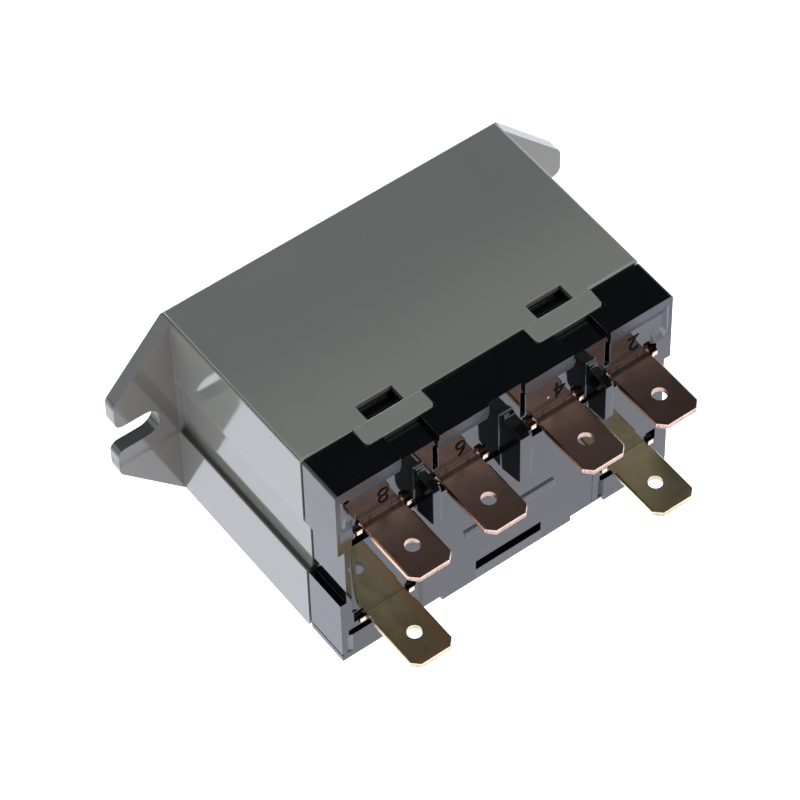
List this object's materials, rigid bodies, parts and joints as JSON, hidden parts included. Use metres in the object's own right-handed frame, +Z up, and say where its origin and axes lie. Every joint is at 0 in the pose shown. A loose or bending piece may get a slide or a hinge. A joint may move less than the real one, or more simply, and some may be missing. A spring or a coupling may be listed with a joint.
{
  "type": "power relay",
  "caption": "Flange-mounted power relay: grey snap-fit cover with slotted ears, black terminal base, copper load blades between barriers and brass coil blades",
  "frame": {"origin": "Middle of the bounding box in X and Y, at the height of the lower broad face, on which the relay lies.", "axes": "+X along the line of the two mounting ears, +Y from the terminal blades towards the mounting face, +Z up out of the broad face on the load blades' side."},
  "size_m": [0.0684, 0.0456, 0.033],
  "materials": {
    "cover_plastic": "satin grey moulding",
    "base_plastic": "glossy black moulding",
    "plated_steel": "zinc-plated soft iron",
    "bobbin_plastic": "natural moulding",
    "coil_copper": "enamelled copper wire",
    "spring_steel": "bright spring steel",
    "bridge_copper": "bare copper",
    "contact_silver": "silver alloy",
    "load_copper": "dull pink copper with bright sheared edges",
    "coil_brass": "dull brass with bright sheared edges"
  },
  "bodies": {
    "housing": {"cover": "cover_plastic", "base": "base_plastic", "yoke": "plated_steel", "core": "plated_steel", "bobbin": "bobbin_plastic", "winding": "coil_copper", "hinge_spring": "spring_steel", "return_spring": "spring_steel", "load_terminal_left_outer": "load_copper", "load_terminal_left_inner": "load_copper", "load_terminal_right_inner": "load_copper", "load_terminal_right_outer": "load_copper", "fixed_contacts": "contact_silver", "coil_terminal_left": "coil_brass", "coil_terminal_right": "coil_brass", "coil_lead_left": "coil_copper", "coil_lead_right": "coil_copper"},
    "armature": {"armature": "plated_steel"},
    "card": {"card": "bobbin_plastic", "contact_spring_left": "spring_steel", "contact_spring_right": "spring_steel"},
    "bridge_left": {"bridge_left": "bridge_copper", "moving_contacts_left": "contact_silver"},
    "bridge_right": {"bridge_right": "bridge_copper", "moving_contacts_right": "contact_silver"}
  },
  "joints": [
    {"name": "armature_hinge", "type": "hinge", "parent": "housing", "child": "armature", "pos_m": [0, 0.0202, 0.0249], "axis": [1, 0, 0], "range_deg": [0, 5.91], "stiffness_Nm_per_rad": 0.05, "springref_deg": -11.46},
    {"name": "card_slide", "type": "slide", "parent": "housing", "child": "card", "axis": [0, 0, -1], "range_m": [0, 0.0017], "deforming": ["return_spring"]},
    {"name": "bridge_left_slide", "type": "slide", "parent": "housing", "child": "bridge_left", "axis": [0, 0, -1], "range_m": [0, 0.0011], "deforming": ["contact_spring_left"]},
    {"name": "bridge_right_slide", "type": "slide", "parent": "housing", "child": "bridge_right", "axis": [0, 0, -1], "range_m": [0, 0.0011], "deforming": ["contact_spring_right"]}
  ],
  "couplings": [
    {"joint": "card_slide", "follows": "armature_hinge", "m_per_rad": 0.016454},
    {"joint": "bridge_left_slide", "follows": "armature_hinge", "m_per_rad": 0.010647},
    {"joint": "bridge_right_slide", "follows": "armature_hinge", "m_per_rad": 0.010647}
  ]
}
